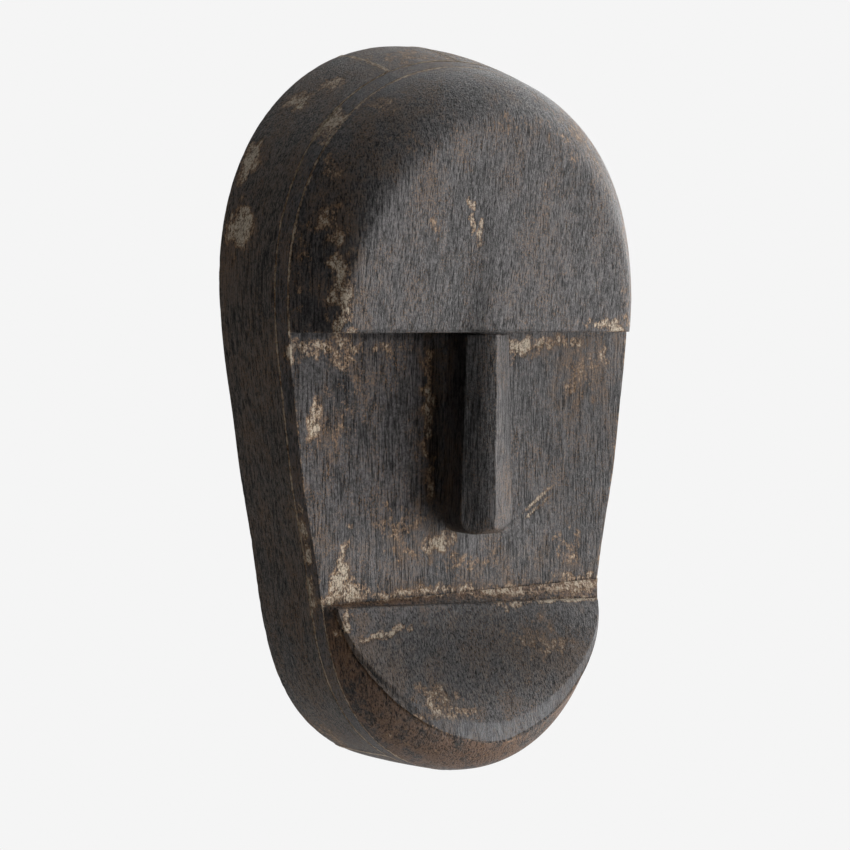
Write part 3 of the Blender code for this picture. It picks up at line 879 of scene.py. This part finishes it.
def stained_wood(name, dark, light, brown, grain, rub, gloss):
    """Dark stain over open-grained wood, rubbed back to brown and to bare wood at marks, seams and edges."""
    shader = Shader(name)
    cloud = shader.noise((22, 22, 15), detail=6.0, roughness=0.62)
    smudge = shader.noise((60, 60, 34), detail=6.0, roughness=0.7)
    streak = shader.noise(tuple(g * 0.4 for g in grain), detail=6.0, roughness=0.7, distortion=0.6)
    pores = shader.noise(grain, detail=4.0, roughness=0.65)
    stipple = shader.noise((760, 760, 560), detail=4.0, roughness=0.8)
    flake = shader.noise((230, 230, 150), detail=6.0, roughness=0.78)
    freckle = shader.noise((1500, 1500, 1100), detail=2.0, roughness=0.6)
    marks = shader.attribute("pale")
    seam = shader.attribute("seam")

    # The stain itself, then the brown where it has worn thin, and the open pores.
    tone = shader.blend(((cloud, 1.0), (smudge, 0.8), (streak, 1.5), (stipple, 2.2)))
    colour = shader.mix(shader.ramp(tone, -0.42, 0.44), dark, light)
    rubbed = ((cloud, 1.8), (smudge, 2.6), (streak, 2.2), (stipple, 2.4))
    rubbed = shader.blend(rubbed, shader.attribute("brown"))
    rubbed = shader.math("MULTIPLY_ADD", marks, 0.9, rubbed)
    colour = shader.mix(shader.ramp(rubbed, 0.15, 0.95, 0.0, 0.92), colour, brown)
    fibre = shader.ramp(pores, 0.40, 0.50, 0.18, 1.15)
    colour = shader.mix(1.0, colour, fibre, "MULTIPLY")

    # Where the wood is bare: at marks, edges and seams, broken up into flecks.
    patches = shader.math("MULTIPLY", marks, 1.45)
    patches = shader.math("MULTIPLY_ADD", shader.attribute("edge"), 0.45, patches)
    patches = shader.math("MULTIPLY_ADD", seam, 1.2, patches)
    breakup = shader.blend(((cloud, 1.0), (smudge, 1.6), (flake, 3.0), (stipple, 4.0), (streak, 2.2)))
    breakup = shader.math("MULTIPLY", breakup, shader.math("MULTIPLY_ADD", patches, 0.55, 0.45))
    worn = shader.math("ADD", shader.math("ADD", breakup, patches), rub)
    freckled = shader.math("MULTIPLY", shader.ramp(freckle, 0.52, 0.64), shader.ramp(smudge, 0.44, 0.60))
    bare = shader.math("MAXIMUM", shader.ramp(worn, 0.30, 0.74), shader.math("MULTIPLY", freckled, 0.55))
    flecked = shader.blend(((freckle, 1.6), (stipple, 2.2), (flake, 1.2)), 0.62)
    bare = shader.math("MULTIPLY", bare, shader.ramp(flecked, 0.25, 0.85, 0.12, 1.0))
    line = shader.ramp(shader.blend(((smudge, 1.2), (flake, 1.2)), seam), 0.38, 0.78, 0.0, 0.8)
    bare = shader.math("MAXIMUM", bare, line)
    worn = shader.math("MAXIMUM", worn, line)
    bare_colour = shader.mix(shader.ramp(worn, 0.60, 1.40), TAN, PALE)
    colour = shader.mix(shader.math("MULTIPLY", bare, 0.9), colour, bare_colour)

    # Painted light on the chin plate's lower bevel, a darkening that is partly painted shade and partly stain
    # and grime, and the black of cracks and inner corners.
    painted_light = shader.ramp(flake, 0.38, 0.60, 0.35, 1.0)
    painted_light = shader.math("MULTIPLY", shader.attribute("painted_light"), painted_light)
    colour = shader.mix(painted_light, colour, PAINTED_LIGHT_GREY)
    # Darkening from the dark attribute: partly painted shade and shadow, partly stain and grime.
    shade_and_grime = shader.math("MULTIPLY_ADD", shader.attribute("dark"), -0.75, 1.0)
    colour = shader.mix(1.0, colour, shade_and_grime, "MULTIPLY")
    corner = shader.ramp(shader.attribute("hollow"), 0.25, 0.8)
    gap = shader.math("MAXIMUM", shader.attribute("crack"), corner)
    colour = shader.mix(gap, colour, CRACK_BLACK)
    shader.feed(shader.surface.inputs["Base Color"], colour)

    rough = shader.blend(((cloud, 0.3), (smudge, 0.3), (stipple, 0.3)), gloss)
    rough = shader.math("MULTIPLY_ADD", bare, 0.25, rough, clamp=True)
    shader.feed(shader.surface.inputs["Roughness"], rough)
    sheen = shader.blend(((smudge, 0.4), (streak, 1.5), (stipple, 2.2), (flake, 0.5)))
    # The painted shade, stain and grime also dull the sheen.
    sheen = shader.math("MULTIPLY", shader.ramp(sheen, -0.55, 0.65, 0.24, 0.78), shade_and_grime)
    sheen = shader.math("MULTIPLY", sheen, shader.ramp(pores, 0.40, 0.50, 0.40, 1.05))
    shader.feed(shader.surface.inputs["Specular IOR Level"], sheen)
    height = shader.blend(((pores, 0.7), (streak, 0.5), (stipple, 0.7), (flake, 0.5)))
    height = shader.math("MULTIPLY_ADD", bare, -0.3, height)
    shader.bump(height, 0.0017)
    return shader.material


def bare_wood(name):
    """Sawn wood that was never stained, with its annual rings and a little dirt."""
    shader = Shader(name)
    rings = shader.noise((14, 260, 260), detail=4.0, roughness=0.6, distortion=0.4)
    fibres = shader.noise((40, 900, 900), detail=3.0, roughness=0.6)
    dirt = shader.noise((30, 30, 30), detail=5.0, roughness=0.6)
    colour = shader.mix(shader.ramp(rings, 0.35, 0.65), (0.34, 0.22, 0.12), (0.20, 0.12, 0.06))
    colour = shader.mix(shader.ramp(fibres, 0.55, 0.75, 0.0, 0.5), colour, (0.10, 0.06, 0.03))
    colour = shader.mix(shader.ramp(dirt, 0.5, 0.75, 0.0, 0.5), colour, (0.06, 0.045, 0.03))
    shader.feed(shader.surface.inputs["Base Color"], colour)
    shader.feed(shader.surface.inputs["Roughness"], shader.ramp(fibres, 0.3, 0.7, 0.6, 0.85))
    shader.bump(shader.math("ADD", rings, fibres), 0.0004)
    return shader.material


def zinc_steel(name):
    """Dull zinc plate with fine scratches and darker spots."""
    shader = Shader(name)
    brushed = shader.noise((2500, 300, 300), detail=3.0)
    spots = shader.noise((300, 300, 300), detail=5.0, roughness=0.65)
    colour = shader.mix(shader.ramp(spots, 0.45, 0.7), (0.55, 0.54, 0.52), (0.22, 0.20, 0.18))
    shader.feed(shader.surface.inputs["Base Color"], colour)
    shader.surface.inputs["Metallic"].default_value = 1.0
    shader.feed(shader.surface.inputs["Roughness"], shader.ramp(spots, 0.3, 0.7, 0.28, 0.55))
    shader.bump(brushed, 0.00005)
    return shader.material


def wood_materials():
    """The stained woods by slot: dark and light stain, brown, grain, readiness to rub, and gloss."""
    stains = {
        "dark_wood": ((0.017, 0.014, 0.014), (0.104, 0.093, 0.093), BROWN, FACE_GRAIN, -0.10, 0.46),
        "side_wood": ((0.008, 0.006, 0.005), (0.150, 0.115, 0.090), BROWN, SIDE_GRAIN, 0.02, 0.48),
        "jaw_wood": ((0.016, 0.011, 0.008), (0.070, 0.040, 0.023), JAW_BROWN, SIDE_GRAIN, -0.12, 0.44),
    }
    return {slot: stained_wood(f"{slot}_worn", *stain) for slot, stain in stains.items()}


# ---- The studio --------------------------------------------------------------------------------------


def direction(azimuth, elevation):
    """The way that a look from an azimuth to the left of the front, at an elevation, goes."""
    turn, tip = math.radians(azimuth), math.radians(elevation)
    return Vector((math.sin(turn) * math.cos(tip), math.cos(turn) * math.cos(tip), -math.sin(tip)))


def facing(way, roll=0.0):
    """The turn of a camera or light that looks that way."""
    return way.to_track_quat("-Z", "Y").to_matrix().to_4x4() @ Matrix.Rotation(math.radians(roll), 4, "Z")


def make_camera():
    """The camera, at the angle from which the mask is shown."""
    data = bpy.data.cameras.new("camera")
    data.sensor_width = SENSOR
    data.lens = LENS
    camera = bpy.data.objects.new("camera", data)
    way = direction(AZIMUTH, ELEVATION)
    camera.matrix_world = Matrix.Translation(TARGET - way * DISTANCE) @ facing(way, ROLL)
    bpy.context.scene.collection.objects.link(camera)
    bpy.context.scene.camera = camera


def softbox(name, azimuth, elevation, distance, width, height, power):
    """A rectangular light that looks at the mask from an azimuth and elevation."""
    data = bpy.data.lights.new(name, "AREA")
    data.shape = "RECTANGLE"
    data.size = width
    data.size_y = height
    data.energy = power
    light = bpy.data.objects.new(name, data)
    way = direction(azimuth, elevation)
    light.matrix_world = Matrix.Translation(TARGET - way * distance) @ facing(way)
    bpy.context.scene.collection.objects.link(light)


def make_world():
    """A flat pale background, and light that comes mostly from the mask's right and a little from above."""
    world = bpy.data.worlds.new("studio")
    world.use_nodes = True
    bpy.context.scene.world = world
    tree = world.node_tree
    background = tree.nodes["Background"]
    place = tree.nodes.new("ShaderNodeTexCoord")
    side = tree.nodes.new("ShaderNodeVectorMath")
    side.operation = "DOT_PRODUCT"
    side.inputs[1].default_value = WORLD_SIDE
    tree.links.new(place.outputs["Generated"], side.inputs[0])
    level = tree.nodes.new("ShaderNodeMapRange")
    level.interpolation_type = "SMOOTHSTEP"
    for name, amounts in (("From", WORLD_RANGE), ("To", WORLD_LIGHT)):
        level.inputs[f"{name} Min"].default_value = amounts[0]
        level.inputs[f"{name} Max"].default_value = amounts[1]
    tree.links.new(side.outputs["Value"], level.inputs["Value"])
    seen = tree.nodes.new("ShaderNodeLightPath")
    strength = tree.nodes.new("ShaderNodeMix")
    tree.links.new(seen.outputs["Is Camera Ray"], strength.inputs[0])
    tree.links.new(level.outputs["Result"], strength.inputs[2])
    strength.inputs[3].default_value = BACKGROUND
    background.inputs["Color"].default_value = (1.0, 1.0, 1.0, 1.0)
    tree.links.new(strength.outputs[0], background.inputs["Strength"])


def make_floor():
    """A plain pale floor, well below the mask."""
    bm = bmesh.new()
    bmesh.ops.create_circle(bm, cap_ends=True, segments=96, radius=FLOOR_RADIUS)
    mesh = bpy.data.meshes.new("floor")
    bm.to_mesh(mesh)
    bm.free()
    floor = bpy.data.objects.new("floor", mesh)
    floor.location.z = FLOOR_Z
    bpy.context.scene.collection.objects.link(floor)
    shader = Shader("floor_paint")
    colour = shader.mix(shader.noise((3, 3, 3)), (0.80, 0.80, 0.80), (0.84, 0.84, 0.84))
    shader.feed(shader.surface.inputs["Base Color"], colour)
    shader.surface.inputs["Roughness"].default_value = 0.9
    mesh.materials.append(shader.material)


# ---- The object --------------------------------------------------------------------------------------


def finish_piece(piece, node, material, seed):
    """Weathers a piece, gives it its material and puts it in the CAD node's place."""
    weather(piece, seed)
    piece.data.materials.clear()
    piece.data.materials.append(material)
    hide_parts(node)
    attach(piece, "mask")


def paint(node, material):
    """Gives a CAD node's every slot one material."""
    mesh = node.data
    if not mesh.materials:
        mesh.materials.append(material)
    for k in range(len(mesh.materials)):
        mesh.materials[k] = material


def round_edges(node, width):
    """Breaks the sharp edges of a CAD node."""
    bevel = node.modifiers.new("worn_edges", "BEVEL")
    bevel.width = width * METRES
    bevel.segments = BEVEL_STEPS
    bevel.limit_method = "ANGLE"
    bevel.angle_limit = math.radians(BEVEL_ANGLE)
    bevel.harden_normals = True


def main():
    """Builds the mask's looks and the studio round it."""
    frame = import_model()
    woods = wood_materials()
    pieces = {node: (piece, "side_wood") for node, piece in shell_boards().items()}
    pieces["face_board"] = (face_board(), "dark_wood")
    pieces["forehead_block"] = (forehead_block(), "dark_wood")
    pieces["nose"] = (nose(), "dark_wood")
    pieces["jaw_block"] = (jaw_block(), "jaw_wood")
    pieces["chin_plate"] = (chin_plate(), "dark_wood")
    # Painted light on the chin plate's lower bevel.
    paint_light_on_chin_bevel(pieces["chin_plate"][0])
    for seed, (node, (piece, slot)) in enumerate(sorted(pieces.items()), start=1):
        finish_piece(piece, node, woods[slot], seed)
    paint(frame["nodes"]["cross_board"], bare_wood("bare_back_wood"))
    round_edges(frame["nodes"]["cross_board"], BOARD_BEVEL)
    steel = zinc_steel("dull_zinc")
    for name in ("hanger_strap", "hanger_ring", "hanger_screw_upper", "hanger_screw_lower"):
        paint(frame["nodes"][name], steel)
    for name in ("hanger_strap", "hanger_screw_upper", "hanger_screw_lower"):
        round_edges(frame["nodes"][name], STEEL_BEVEL)
    make_floor()
    make_world()
    for name, light in LIGHTS.items():
        softbox(name, *light)
    make_camera()
    bpy.context.scene.view_settings.view_transform = "Standard"


main()
